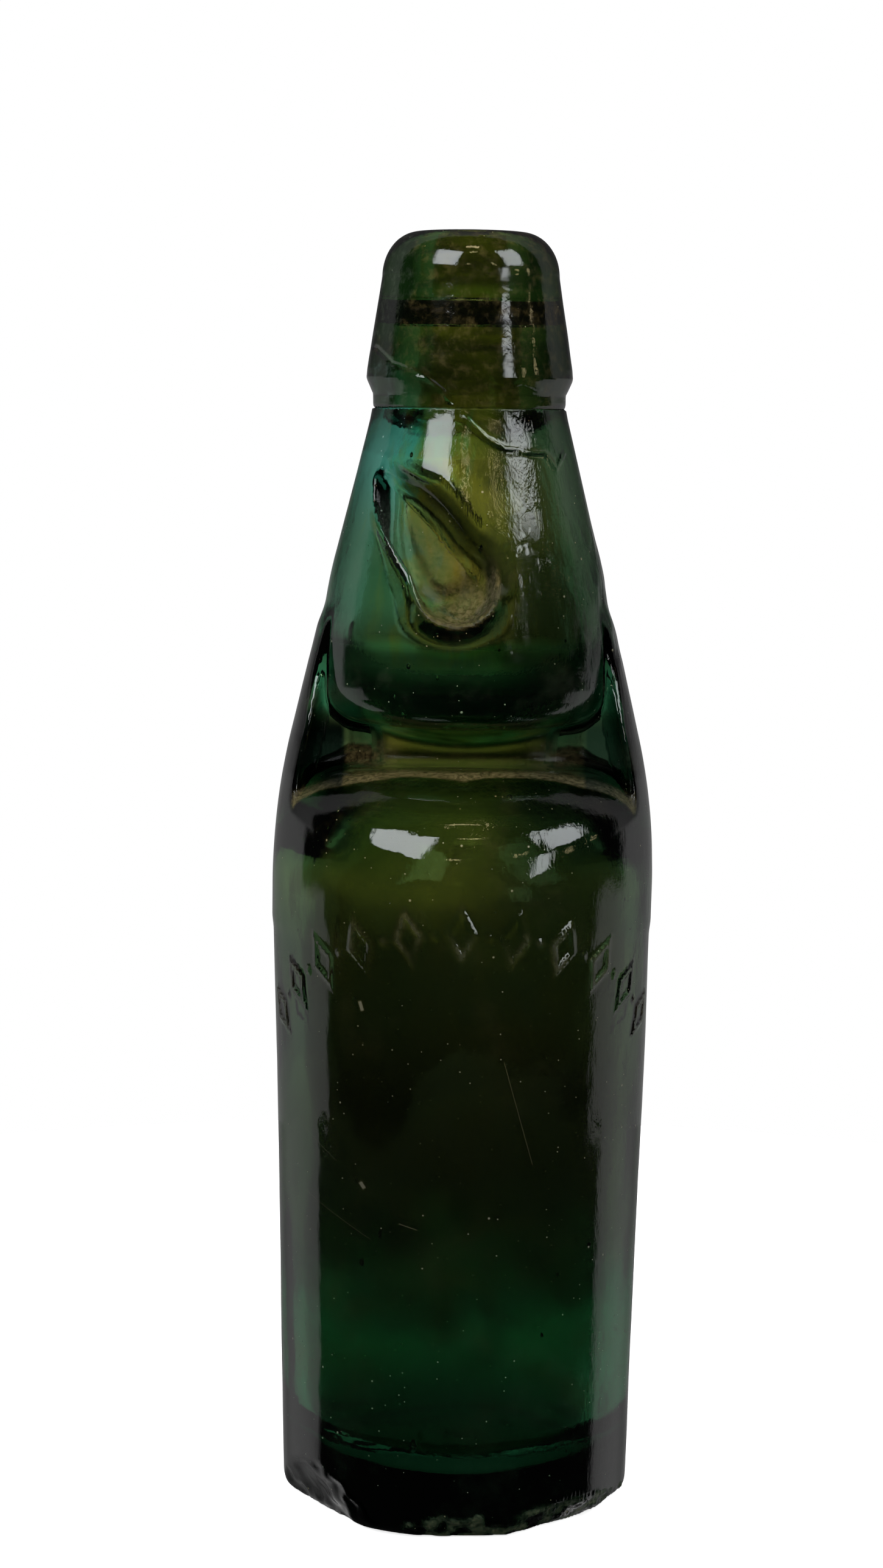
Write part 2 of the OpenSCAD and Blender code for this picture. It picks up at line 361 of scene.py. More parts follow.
def gradient(field, p, h=0.02):
    x, y, z = p.T
    return np.stack(
        [
            field(x + h, y, z) - field(x - h, y, z),
            field(x, y + h, z) - field(x, y - h, z),
            field(x, y, z + h) - field(x, y, z - h),
        ],
        1,
    ) / (2 * h)


def fill_grid(field, low, counts, step):
    """The field's values on a grid, a few layers at a time."""
    axes = [low[k] + step * np.arange(counts[k]) for k in range(3)]
    values = np.empty(counts, np.float32)
    for start in range(0, counts[2], 24):
        X, Y, Z = np.meshgrid(axes[0], axes[1], axes[2][start : start + 24], indexing="ij")
        values[:, :, start : start + 24] = field(X, Y, Z)
    return values


def cell_corner(values, k):
    """The values at one of each cell's eight corners."""
    n = values.shape
    i, j, m = k & 1, (k >> 1) & 1, (k >> 2) & 1
    return values[i : n[0] - 1 + i, j : n[1] - 1 + j, m : n[2] - 1 + m]


def surface_net(field, low, high, step):
    """Points and quads of the field's zero surface, one point in each cell that it crosses."""
    counts = tuple(int(math.ceil((high[k] - low[k]) / step)) + 1 for k in range(3))
    values = fill_grid(field, low, counts, step)
    full = np.zeros([c - 1 for c in counts], np.int8)
    for k in range(8):
        full += cell_corner(values, k) < 0
    cells = np.argwhere((full > 0) & (full < 8))
    index = np.full(full.shape, -1, np.int32)
    index[tuple(cells.T)] = np.arange(len(cells))
    offsets = np.array([(k & 1, (k >> 1) & 1, (k >> 2) & 1) for k in range(8)])
    corner = np.stack([values[tuple((cells + o).T)] for o in offsets], 1)
    total = np.zeros((len(cells), 3))
    count = np.zeros(len(cells))
    for a in range(8):
        for b in range(a + 1, 8):
            if np.abs(offsets[a] - offsets[b]).sum() != 1:
                continue
            crossed = (corner[:, a] < 0) != (corner[:, b] < 0)
            t = corner[:, a] / np.where(crossed, corner[:, a] - corner[:, b], 1)
            total += crossed[:, None] * (offsets[a] + t[:, None] * (offsets[b] - offsets[a]))
            count += crossed
    points = np.array(low) + step * (cells + total / count[:, None])
    return points, net_quads(values, index)


def net_quads(values, index):
    """One quad round each grid edge that the surface crosses, facing out of the solid."""
    quads = []
    inner = values < 0
    for k in range(3):
        u, v = (k + 1) % 3, (k + 2) % 3
        here = [slice(None)] * 3
        there = [slice(None)] * 3
        here[k], there[k] = slice(0, -1), slice(1, None)
        first = inner[tuple(here)]
        at = np.argwhere(first != inner[tuple(there)])
        at = at[(at[:, u] > 0) & (at[:, v] > 0) & (at[:, u] < index.shape[u]) & (at[:, v] < index.shape[v])]
        du, dv = np.eye(3, dtype=int)[u], np.eye(3, dtype=int)[v]
        ring = np.stack([index[tuple((at - a).T)] for a in (du + dv, dv, 0 * du, du)], 1)
        out = first[tuple(at.T)]
        quads.append(np.where(out[:, None], ring, ring[:, ::-1]))
    return np.concatenate(quads)


def settle(field, p, rounds=3, reach=0.35):
    """Moves the points onto the field's zero surface."""
    for _ in range(rounds):
        g = gradient(field, p)
        move = field(*p.T) / np.maximum((g * g).sum(1), 0.05)
        step = g * move[:, None]
        far = np.linalg.norm(step, axis=1)
        p = p - step * np.minimum(1, reach / np.maximum(far, 1e-9))[:, None]
    return p


def unit(v):
    return v / np.maximum(np.linalg.norm(v, axis=1), 1e-9)[:, None]


def raise_relief(p, n, relief):
    """Moves the points along their normals by the relief, and tilts the normals to match."""
    slope = gradient(relief, p, 0.05)
    slope -= n * (slope * n).sum(1)[:, None]
    return p + n * relief(*p.T)[:, None], unit(n - slope)


def to_object(name, p, quads, n):
    mesh = bpy.data.meshes.new(name)
    mesh.vertices.add(len(p))
    mesh.vertices.foreach_set("co", (p * MM).astype(np.float32).ravel())
    mesh.loops.add(quads.size)
    mesh.loops.foreach_set("vertex_index", quads.astype(np.int32).ravel())
    mesh.polygons.add(len(quads))
    mesh.polygons.foreach_set("loop_start", np.arange(0, quads.size, 4, dtype=np.int32))
    mesh.update(calc_edges=True)
    mesh.shade_smooth()
    mesh.normals_split_custom_set_from_vertices(n.astype(np.float32))
    ob = bpy.data.objects.new(name, mesh)
    bpy.context.scene.collection.objects.link(ob)
    return ob


def paint(ob, name, values):
    """Stores one number for each point, for the material to read."""
    layer = ob.data.attributes.new(name, "FLOAT", "POINT")
    layer.data.foreach_set("value", values.astype(np.float32))


def solid_of(name, field, relief, low, high, step):
    p, quads = surface_net(field, low, high, step)
    p = settle(field, p)
    n = unit(gradient(field, p, 0.12))
    p, n = raise_relief(p, n, relief)
    return p, quads, n


# The relief of the bottle's surfaces

ARC_R = 58.0
ARC_TOP_Z = 106.5
ARC_STEPS = 11
ARC_SPREAD = math.radians(45)


def ornament(x, y, z):
    """A plain arc of raised lozenges and pellets on the front of the body."""
    around = np.arctan2(x, -y) * (BODY_R - 0.3)
    down = ARC_TOP_Z - ARC_R
    angle = np.arctan2(around, z - down)
    height = np.hypot(around, z - down) - ARC_R
    pitch = 2 * ARC_SPREAD / (ARC_STEPS - 1)
    place = np.clip(np.round(angle / pitch), -(ARC_STEPS // 2), ARC_STEPS // 2)
    across = (angle - place * pitch) * ARC_R
    edge = np.abs(np.abs(across) / 2.1 + np.abs(height) / 4.0 - 1) * 1.9
    lozenge = 0.34 * bump(edge / 1.0)
    between = np.clip(np.round(angle / pitch - 0.5), -(ARC_STEPS // 2), ARC_STEPS // 2 - 1) + 0.5
    pellet = 0.32 * bump(np.hypot((angle - between * pitch) * ARC_R, height) / 1.0)
    front = (y < 0) & (z > 60) & (z < 118)
    return np.where(front, lozenge + pellet, 0)


def strand(x, z, points, width):
    """Closeness to a line of glass that runs through points (x, z) on the front."""
    best = np.full(np.shape(x), 1e9)
    for (x0, z0), (x1, z1) in zip(points, points[1:]):
        dx, dz = x1 - x0, z1 - z0
        t = np.clip(((x - x0) * dx + (z - z0) * dz) / (dx * dx + dz * dz), 0, 1)
        best = np.minimum(best, np.hypot(x - x0 - t * dx, z - z0 - t * dz))
    return bump(best / width)


DRIP = [(-2.2, 195.0), (0.8, 191.4), (3.4, 189.2), (6.2, 187.8), (13.2, 187.0), (15.0, 184.3), (16.4, 187.2)]


def waves(x, y, z):
    """The uneven skin of hand-blown glass."""
    slow = 0.16 * swell(x / 17, y / 17, z / 26)
    calm = 1 - 0.75 * smooth((z - 112) / 6) * smooth((136 - z) / 3)
    quick = 0.05 * calm * ripple(x / 5.5, y / 5.5, z / 11)
    fine = 0.016 * ripple(x / 2.1 + 7, y / 2.1, z / 3.4)
    rippled = smooth((x - 4) / 4) * smooth((z - 148) / 4) * smooth((178 - z) / 8)
    return slow + quick + fine + 0.15 * rippled * ripple(x / 2.6, y / 2.6 + 3, z / 3.6)


def outer_relief(x, y, z):
    r = np.hypot(x, y)
    h = waves(x, y, z) + ornament(x, y, z)
    rim = dent(x, y, z)
    t, out, side = dent_axes(x, y, z)
    roll = smooth(-side / 5) * smooth(t * 5) * smooth((1 - t) * 3)
    h = h + 0.12 * bump((rim - 0.3) / 0.9) + 0.34 * roll * bump((rim - 1.2) / 1.5)
    h = h + np.where(y < 0, 0.24 * strand(x, z, DRIP, 0.75), 0)
    scarred = smooth((0.5 - np.abs(chips(x, y, z))) / 0.4) * smooth((9 - z) / 3) * smooth((x + 14) / 4)
    h = h + scarred * (0.10 * np.sin(9 * np.hypot(x + 12, z - 6)) + 0.22 * grit(x / 1.1, y / 1.1, z / 1.1))
    return h


def inner_relief(x, y, z):
    slow = 0.42 * swell(x / 14 + 5, y / 14, z / 22)
    return slow + 0.07 * ripple(x / 4.5 + 3, y / 4.5, z / 9)


def dust_on_bottle(x, y, z, up):
    """Where dust has settled: the shoulder's ledge, the dents and the chips, from 0 to 1."""
    skin = np.abs(outside(x, y, z)) < 0.9
    reach = 21.4 - 0.22 * np.abs(x) + 0.7 * ripple(x / 5, y / 5, z / 5) - np.abs(y)
    ledge = smooth(reach / 0.9) * smooth((np.abs(y) - 9.5) / 2) * smooth((z - 121) / 3) * smooth((136 - z) / 1.0)
    ledge = ledge * smooth((up - 0.2) / 0.2) * (0.04 + 0.17 * smooth((5.0 - reach) / 3))
    crook = 0.07 * smooth((z - 132) / 1) * smooth((138 - z) / 2) * smooth((np.abs(x) - 10) / 4)
    t, out, side = dent_axes(x, y, z)
    within = smooth((0.9 - dent(x, y, z)) / 0.8)
    left = smooth((0.5 - side) / 1.4)
    foot = bump((t + 0.20) / 0.26)
    hollow = within * np.clip(0.07 * left * smooth((1.0 - t) * 2.5) + 0.26 * foot, 0, 1)
    broken = smooth((0.7 - np.abs(chips(x, y, z))) / 0.4) * smooth((6 - z) / 2) * smooth((x + 13) / 4)
    broken = broken * smooth(0.35 + 1.4 * ripple(x / 2 + 9, y / 2, z / 1.6))
    marks = 0.35 * ornament(x, y, z) * smooth(0.6 + ripple(x / 4, y / 4, z / 4))
    return np.where(skin, np.clip(ledge + crook + hollow + marks + 0.34 * broken, 0, 1), 0)


def shade_on_bottle(x, y, z):
    """Painted shade, from 0 to 1: in the dents' hollows and on their lugs, in a band beside their upper edge, and
    under the shoulder's ledge.
    """
    t, out, side = dent_axes(x, y, z)
    off = dent(x, y, z)
    skin = np.abs(outside(x, y, z)) < 0.9
    beside = smooth((off + 0.2) / 0.6) * smooth((3.4 - off) / 1.6) * smooth((side - 1.5) / 2)
    beside = skin * beside * smooth((t + 0.1) * 4) * smooth((1.08 - t) * 5)
    hollow = np.where(skin, smooth((0.6 - off) / 0.8), smooth((5.6 - off) / 1.0))
    lug = (1 - skin) * smooth((6.0 - off) / 1.5) * smooth((side - 1) / 2)
    away = np.abs(y) + 0.22 * np.abs(x) - 21.4
    under = smooth((away - 0.4) / 1.0) * smooth((5.2 - away) / 2.5) * smooth((z - 121) / 3) * smooth((133 - z) / 1)
    return np.clip(0.96 * beside + 0.32 * hollow + 0.97 * lug + 0.65 * skin * under, 0, 0.97)


def film_on_bottle(x, y, z):
    """Old residue inside the throat and the chamber's foot, which blurs what is seen through it."""
    within = np.abs(inside(x, y, z)) < 0.9
    return within * smooth((z - 121) / 5) * smooth((159 - z) / 9)


def dull_on_bottle(x, y, z):
    """Where the outside has lost its shine: the crook above the ledge, the dents and the breaks."""
    crook = smooth((z - 130.5) / 1.0) * smooth((138.5 - z) / 1.5)
    dents = smooth((0.22 - dent(x, y, z)) / 0.2)
    breaks = smooth((0.6 - np.abs(chips(x, y, z))) / 0.3) * smooth((10 - z) / 1)
    return (np.abs(outside(x, y, z)) < 0.9) * np.maximum(np.maximum(crook, dents), breaks)


def bottle_relief(x, y, z):
    """Relief of the outside or the inside, whichever surface the point is on."""
    out = np.abs(outside(x, y, z)) < np.abs(inside(x, y, z))
    cap = smooth((LIP_Z - 0.6 - z) / 1.5)
    foot = smooth((z - 0.35) / 1.2)
    return cap * np.where(out, foot * outer_relief(x, y, z), inner_relief(x, y, z))


# The lip

def lip_profile():
    foot_r, top_r = 18.05, 15.5
    side_z = BOTTLE_H - 7.8
    return (
        [(0, LIP_Z), (NECK_R - 0.5, LIP_Z), (16.85, LIP_Z + 0.7), (16.85, LIP_Z + 2.4), (17.25, LIP_Z + 3.2)]
        + [(foot_r - 0.1, LIP_Z + 4.8), (foot_r, LIP_Z + 5.3), (foot_r - 0.12, LIP_Z + 6.8)]
        + arc(9.0, side_z, top_r - 9.0, 7.8, 0, 90)
        + [(0, BOTTLE_H)]
    )


def lip_bore_profile():
    return (
        [(0, LIP_Z - 4), (NECK_BORE_R, LIP_Z - 4), (NECK_BORE_R, GROOVE_Z - 0.4), (GROOVE_R - 0.5, GROOVE_Z - 0.1)]
        + [(GROOVE_R - 0.1, GROOVE_Z + 0.6), (GROOVE_R - 0.1, GROOVE_Z + RING_H - 0.6)]
        + [(GROOVE_R - 0.6, GROOVE_Z + RING_H - 0.05)]
        + [(MOUTH_R + 0.3, GROOVE_Z + RING_H + 0.3), (MOUTH_R, GROOVE_Z + RING_H + 1.2)]
        + [(MOUTH_R, BOTTLE_H - MOUTH_ROUND), (MOUTH_R + 0.35, BOTTLE_H - 1.0), (MOUTH_R + 2.2, BOTTLE_H + 0.3)]
        + [(MOUTH_R + 2.2, BOTTLE_H + 6), (0, BOTTLE_H + 6)]
    )


lip_field = lathe(lip_profile(), 24, 186, 236, 0.15)
lip_bore_field = lathe(lip_bore_profile(), 24, 186, 236, 0.15)

FOLD = [(-16.2, 204.6), (-13.4, 202.0), (-8.0, 200.1), (-4.4, 197.2), (-2.0, 194.0)]
WAVE = [(3.0, 198.8), (6.0, 198.2), (9.0, 199.0), (12.0, 198.0)]


def lip(x, y, z):
    r = np.hypot(x, y)
    return smax(lip_field(r, z), -lip_bore_field(r, z), 0.5)


def lip_relief(x, y, z):
    out = np.hypot(x, y) > 12.5
    slow = 0.05 * swell(x / 9 + 2, y / 9, z / 9)
    rings = ripple(x / 6 + 1, y / 6, z / 1.6) * (0.012 + 0.04 * smooth((200 - z) / 4))
    h = slow + rings + 0.012 * ripple(x / 2, y / 2 + 4, z / 3.5)
    folds = -0.30 * strand(x, z, FOLD, 0.8) + 0.16 * strand(x, z, WAVE, 0.7)
    h = h + np.where(y < 0, folds, 0)
    ends = smooth((z - LIP_Z - 0.2) / 1.0) * smooth((BOTTLE_H - 0.1 - z) / 0.5)
    return np.where(out, h, 0.3 * slow) * ends


# Bubbles in the glass

def add_bubbles(p, quads, n, rng, count):
    """Small air bubbles inside the walls, as hollows of the same mesh."""
    rings, turns = 5, 8
    lat = np.radians(np.linspace(-75, 75, rings))
    lon = np.radians(np.arange(turns) * 360 / turns)
    ball = np.array([(math.cos(a) * math.cos(b), math.cos(a) * math.sin(b), math.sin(a)) for a in lat for b in lon])
    sides = [
        (k * turns + j, (k + 1) * turns + j, (k + 1) * turns + (j + 1) % turns, k * turns + (j + 1) % turns)
        for k in range(rings - 1)
        for j in range(turns)
    ]
    caps = [(0, 1, 2, 3), (0, 3, 4, 7), (4, 5, 6, 7)]
    top = (rings - 1) * turns
    caps += [(top + d, top + c, top + b, top + a) for a, b, c, d in caps]
    shell = np.array(sides + caps)
    parts_p, parts_q, parts_n = [p], [quads], [n]
    base = len(p)
    outer = p[(np.abs(outside(*p.T)) < 0.6) & (p[:, 2] > 8) & (p[:, 2] < LIP_Z - 4)]
    for k in range(count):
        start = outer[rng.integers(len(outer))]
        normal = gradient(outside, start[None])[0]
        deep = start - normal / np.linalg.norm(normal) * rng.uniform(1.5, 3.0)
        size = rng.uniform(0.12, 0.36) * (1.9 if rng.random() < 0.12 else 1)
        long = size * rng.uniform(1.0, 2.2)
        parts_p.append(deep + ball * (size, size, long))
        parts_n.append(-ball)
        parts_q.append(shell + base)
        base += len(ball)
    return np.concatenate(parts_p), np.concatenate(parts_q), np.concatenate(parts_n)


def make_bottle():
    step = 0.62
    low, high = (-35.2, -35.2, -1.3), (35.2, 35.2, LIP_Z + 1.3)
    p, quads, n = solid_of("bottle", bottle, bottle_relief, low, high, step)
    p, quads, n = add_bubbles(p, quads, n, np.random.default_rng(5), 110)
    ob = to_object("bottle_glass", p, quads, n)
    paint(ob, "dust", dust_on_bottle(*p.T, n[:, 2]))
    # The painted shade of the dents, their lugs and the band under the ledge
    paint(ob, "shade", shade_on_bottle(*p.T))
    paint(ob, "film", film_on_bottle(*p.T))
    paint(ob, "dull", dull_on_bottle(*p.T))
    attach(ob, "bottle")
    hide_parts("bottle_body")
    return ob


def make_lip():
    step = 0.42
    low, high = (-19.7, -19.7, LIP_Z - 1.1), (19.7, 19.7, BOTTLE_H + 1.2)
    p, quads, n = solid_of("lip", lip, lip_relief, low, high, step)
    ob = to_object("lip_glass", p, quads, n)
    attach(ob, "bottle")
    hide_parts("applied_lip")
    return ob


# Materials

class Tree:
    """A material's nodes, added and joined by name."""

    def __init__(self, name):
        self.material = bpy.data.materials.new(name)
        self.material.use_nodes = True
        self.nodes = self.material.node_tree.nodes
        self.links = self.material.node_tree.links
        self.nodes.clear()
        self.out = self.nodes.new("ShaderNodeOutputMaterial")

    def add(self, kind, settings=None, **sockets):
        node = self.nodes.new("ShaderNode" + kind)
        for key, value in (settings or {}).items():
            setattr(node, key, value)
        for key, value in sockets.items():
            self.set(node, key.replace("_", " "), value)
        return node

    def set(self, node, key, value):
        socket = node.inputs[int(key)] if key.isdigit() else node.inputs[key]
        if isinstance(value, bpy.types.NodeSocket):
            self.links.new(value, socket)
        else:
            socket.default_value = value

    def place(self):
        """The point in the row frame, in millimetres, as a vector socket."""
        coords = self.add("TexCoord")
        scaled = self.add("VectorMath", {"operation": "SCALE"})
        self.links.new(coords.outputs["Object"], scaled.inputs[0])
        scaled.inputs["Scale"].default_value = 1000
        return scaled.outputs[0]

    def noise(self, where, scale, detail=3.0, stretch=(1, 1, 1), rough=0.55, warp=0.0):
        mapped = self.add("Mapping", Vector=where)
        mapped.inputs["Scale"].default_value = stretch
        node = self.add("TexNoise", Vector=mapped.outputs[0], Scale=scale, Detail=detail, Roughness=rough, Distortion=warp)
        return node.outputs["Fac"]

    def ramp(self, value, low, high, to_low=0.0, to_high=1.0):
        node = self.add("MapRange", {"interpolation_type": "SMOOTHSTEP"}, Value=value)
        for key, number in zip(("From Min", "From Max", "To Min", "To Max"), (low, high, to_low, to_high)):
            node.inputs[key].default_value = number
        return node.outputs[0]

    def math(self, operation, a, b=0.0):
        node = self.add("Math", {"operation": operation})
        self.set(node, "0", a)
        self.set(node, "1", b)
        return node.outputs[0]

    def mix(self, factor, a, b):
        node = self.add("Mix", {"data_type": "RGBA"})
        self.set(node, "0", factor)
        self.set(node, "6", a)
        self.set(node, "7", b)
        return node.outputs[2]

    def line(self, x, z, a, b, c):
        """a x + b z + c"""
        return self.math("ADD", self.math("ADD", self.math("MULTIPLY", x, a), self.math("MULTIPLY", z, b)), c)

    def axis(self, where, name):
        return self.add("SeparateXYZ", Vector=where).outputs[name]


def rgb(*c):
    return (*c, 1.0)


TEAL = rgb(0.60, 0.98, 0.90)
SEA = rgb(0.50, 0.62, 0.42)
OLIVE = rgb(0.92, 0.66, 0.22)
MOSS = rgb(0.46, 0.34, 0.17)
AMBER = rgb(0.58, 0.46, 0.16)
PINE = rgb(0.092, 0.225, 0.108)
MURK = rgb(0.16, 0.13, 0.055)
INK = rgb(0.10, 0.12, 0.07)
BARK = rgb(0.72, 0.53, 0.20)
FERN = rgb(0.74, 0.98, 0.56)
MOULD = rgb(0.10, 0.34, 0.10)
SOIL = rgb(0.30, 0.21, 0.12)
NIGHT = rgb(0.011, 0.017, 0.010)
BLACK = rgb(0, 0, 0)
DUST = rgb(0.25, 0.24, 0.19)


def specks(t, where, scale, share, seed):
    """Small scattered specks, as a mask."""
    cells = t.add("TexVoronoi", {"feature": "F1"}, Scale=scale)
    moved = t.add("Mapping", Vector=where)
    moved.inputs["Location"].default_value = (seed, seed * 1.7, seed * 0.3)
    t.links.new(moved.outputs[0], cells.inputs["Vector"])
    near = t.ramp(cells.outputs["Distance"], 0.10, 0.04)
    chosen = t.ramp(t.axis(cells.outputs["Color"], "X"), 1 - share - 0.02, 1 - share)
    return t.math("MULTIPLY", near, chosen)


# Scratches and scars on the front: ends (x, z), (x, z), half width and strength
SCRATCHES = [
    ((7.4, 84.8), (12.6, 66.4), 0.08, 0.18),
    ((-29.0, 71.5), (-20.9, 65.4), 0.08, 0.13),
    ((-27.0, 59.0), (-14.8, 52.7), 0.09, 0.12),
    ((-10.3, 56.2), (-6.8, 55.2), 0.12, 0.26),
    ((-17.3, 94.4), (-16.7, 92.4), 0.42, 0.50),
    ((-17.0, 62.8), (-16.0, 61.4), 0.50, 0.45),
    ((3.0, 38.0), (9.0, 41.0), 0.06, 0.06),
]


def scratch(t, x, y, z, start, end, half, strength):
    """A broken line on the front of the glass, as a mask."""
    dx, dz = end[0] - start[0], end[1] - start[1]
    long = math.hypot(dx, dz)
    across = t.math("ABSOLUTE", t.line(x, z, dz / long, -dx / long, (start[1] * dx - start[0] * dz) / long))
    along = t.line(x, z, dx / long, dz / long, -((start[0] + end[0]) * dx + (start[1] + end[1]) * dz) / (2 * long))
    within = t.math("MULTIPLY", t.ramp(across, half, half * 0.4), t.ramp(t.math("ABSOLUTE", along), long / 2, long / 2 - 0.4))
    front = t.math("MULTIPLY", within, t.ramp(y, -6, -8, 0.0, strength))
    return front


def bottle_material():
    t = Tree("Bottle_Green_Glass")
    where = t.place()
    x, y, z = (t.axis(where, a) for a in "XYZ")

    # Streaks of teal and olive that run up the glass, clearest at the left of the neck
    streak = t.noise(where, 0.08, 4, (1.0, 1.0, 0.30), 0.6, 1.2)
    side = t.math("ADD", streak, t.ramp(x, -20, 16, 0.26, -0.26))
    colour = t.mix(t.ramp(side, 0.30, 0.46), MOSS, OLIVE)
    clear_green = t.mix(t.ramp(z, 171, 188), SEA, TEAL)
    colour = t.mix(t.ramp(side, 0.54, 0.66), colour, clear_green)
    colour = t.mix(t.ramp(z, 162, 140), colour, AMBER)
    colour = t.mix(t.math("MULTIPLY", t.ramp(z, 153, 148), t.ramp(z, 138, 144)), colour, FERN)
    colour = t.mix(t.math("MULTIPLY", t.ramp(z, 163, 157, 0.0, 0.3), t.ramp(z, 150, 154)), colour, BLACK)
    pinch = t.math("MULTIPLY", t.ramp(z, 126, 131), t.ramp(z, 143, 138))
    colour = t.mix(pinch, colour, BARK)
    # Painted shade at the two sides of the pinch; the brown above is the glass's own colour
    across = t.math("ABSOLUTE", x)
    colour = t.mix(t.math("MULTIPLY", pinch, t.ramp(across, 20.4, 21.4)), colour, NIGHT)
    # Painted shade in the corners beside the throat, below the chamber
    corner = t.math("MULTIPLY", t.ramp(z, 134.5, 136), t.ramp(z, 143, 141))
    colour = t.mix(t.math("MULTIPLY", corner, t.ramp(across, 14, 15.5, 0.0, 0.6)), colour, BLACK)
    # Painted shade, carried by the mesh: the dents' hollows and lugs, beside their upper edges and under the ledge
    shade = t.add("Attribute", {"attribute_name": "shade"}).outputs["Fac"]
    colour = t.mix(shade, colour, NIGHT)

    # Clear green near the foot, murky in the middle of the body
    foot = t.ramp(t.math("ADD", z, t.math("MULTIPLY", t.noise(where, 0.05, 2), 26)), 70, 54)
    colour = t.mix(foot, colour, PINE)
    wander = t.math("ADD", z, t.math("MULTIPLY", t.noise(where, 0.05, 4), 50))
    murk = t.math("MULTIPLY", t.ramp(wander, 59, 72), t.ramp(wander, 152, 122))
    stain = t.mix(t.ramp(t.noise(where, 0.055, 5, (1, 1, 0.8), 0.6, 0.6), 0.38, 0.68), MURK, INK)
    stain = t.mix(t.ramp(z, 92, 66, 0.0, 0.72), stain, BLACK)
    colour = t.mix(t.math("MULTIPLY", murk, 0.9), colour, stain)
    brown = t.math("MULTIPLY", t.ramp(t.noise(where, 0.07, 4, (1, 1, 1.3)), 0.50, 0.64), t.ramp(z, 12, 24, 0.0, 0.55))
    colour = t.mix(t.math("MULTIPLY", brown, foot), colour, MURK)
    colour = t.mix(t.ramp(z, 22, 12, 0.0, 0.4), colour, BLACK)
    # Painted shade: the right side darker, from the shoulder up the neck
    right = t.math("MULTIPLY", t.ramp(x, 4, 13, 0.0, 0.6), t.math("MULTIPLY", t.ramp(z, 98, 106), t.ramp(z, 176, 162)))
    colour = t.mix(right, colour, INK)

    # Settled dust, which the mesh carries, broken up into flecks, with stray specks all over
    settled = t.add("Attribute", {"attribute_name": "dust"}).outputs["Fac"]
    fleck = t.ramp(t.noise(where, 1.2, 6, rough=0.85), 0.38, 0.64, 0.15, 1.3)
    dust = t.math("MULTIPLY", settled, fleck)
    dust = t.math("MAXIMUM", dust, t.math("MULTIPLY", specks(t, where, 0.35, 0.16, 3.0), 0.6))
    dust = t.math("MAXIMUM", dust, t.math("MULTIPLY", specks(t, where, 0.9, 0.06, 11.0), 0.8))
    dust = t.math("MAXIMUM", dust, t.math("MULTIPLY", specks(t, where, 0.6, 0.25, 23.0), 0.6))
    haze = t.ramp(t.noise(where, 0.08, 6, rough=0.68), 0.50, 0.72, 0.0, 0.020)
    dust = t.math("MAXIMUM", dust, haze)
    for line in SCRATCHES:
        dust = t.math("MAXIMUM", dust, scratch(t, x, y, z, *line))
    colour = t.mix(dust, colour, t.mix(t.ramp(z, 9, 6), DUST, SOIL))

    rough = t.math("ADD", t.ramp(t.noise(where, 0.12, 4), 0.45, 0.75, 0.03, 0.10), t.math("MULTIPLY", dust, 0.6))
    rough = t.math("MAXIMUM", rough, t.ramp(settled, 0.02, 0.16, 0.0, 0.5))
    film = t.add("Attribute", {"attribute_name": "film"}).outputs["Fac"]
    rough = t.math("MAXIMUM", rough, t.math("MULTIPLY", film, 0.42))
    colour = t.mix(t.math("MULTIPLY", film, 0.10), colour, MOULD)
    clear = t.math("SUBTRACT", 1.0, t.math("MAXIMUM", t.math("MULTIPLY", dust, 0.8), t.math("MULTIPLY", film, 0.10)))
    shine = t.ramp(settled, 0.02, 0.16, 1.0, 0.3)

    # The worn right side of the neck shines only in broken flecks, fewer lower down
    worn = t.math("MULTIPLY", t.ramp(x, 3, 6), t.math("MULTIPLY", t.ramp(z, 146, 152), t.ramp(z, 179, 171)))
    flecks = t.math("SUBTRACT", t.noise(where, 0.8, 3, (1.0, 1.0, 0.45), 0.6, 1.0), t.ramp(z, 178, 160, 0.0, 0.10))
    dull = t.math("MULTIPLY", worn, t.ramp(flecks, 0.60, 0.52))
    dull = t.math("MAXIMUM", dull, t.add("Attribute", {"attribute_name": "dull"}).outputs["Fac"])
    shine = t.mix(dull, shine, rgb(0.05, 0.05, 0.05))

    # Fine skin: pits and ripples, coarser on the neck
    peel = t.noise(where, 0.75, 4, (1.0, 1.0, 0.4), 0.62)
    neck = t.math("MULTIPLY", t.ramp(z, 135, 165, 0.35, 0.8), t.ramp(x, -4, 5, 0.35, 1.0))
    broken = t.noise(where, 0.30, 3, (1.0, 1.0, 0.5), 0.6, 0.8)
    peel = t.math("ADD", peel, t.math("MULTIPLY", broken, t.math("MULTIPLY", worn, 1.2)))
    pits = t.math("MULTIPLY", specks(t, where, 0.7, 0.16, 5.0), -0.4)
    fine = t.add("Bump", Height=t.math("ADD", t.math("MULTIPLY", peel, neck), pits))
    fine.inputs["Strength"].default_value = 0.38
    fine.inputs["Distance"].default_value = 0.00035
    glass = t.add("BsdfPrincipled", Base_Color=colour, Roughness=rough, Transmission_Weight=clear, Normal=fine.outputs[0])
    glass.inputs["IOR"].default_value = 1.52
    t.links.new(shine, glass.inputs["Specular Tint"])
    t.links.new(glass.outputs[0], t.out.inputs["Surface"])
    soak = t.add("VolumeAbsorption")
    soak.inputs["Color"].default_value = rgb(0.12, 0.46, 0.40)
    soak.inputs["Density"].default_value = 215
    t.links.new(soak.outputs[0], t.out.inputs["Volume"])
    return t.material


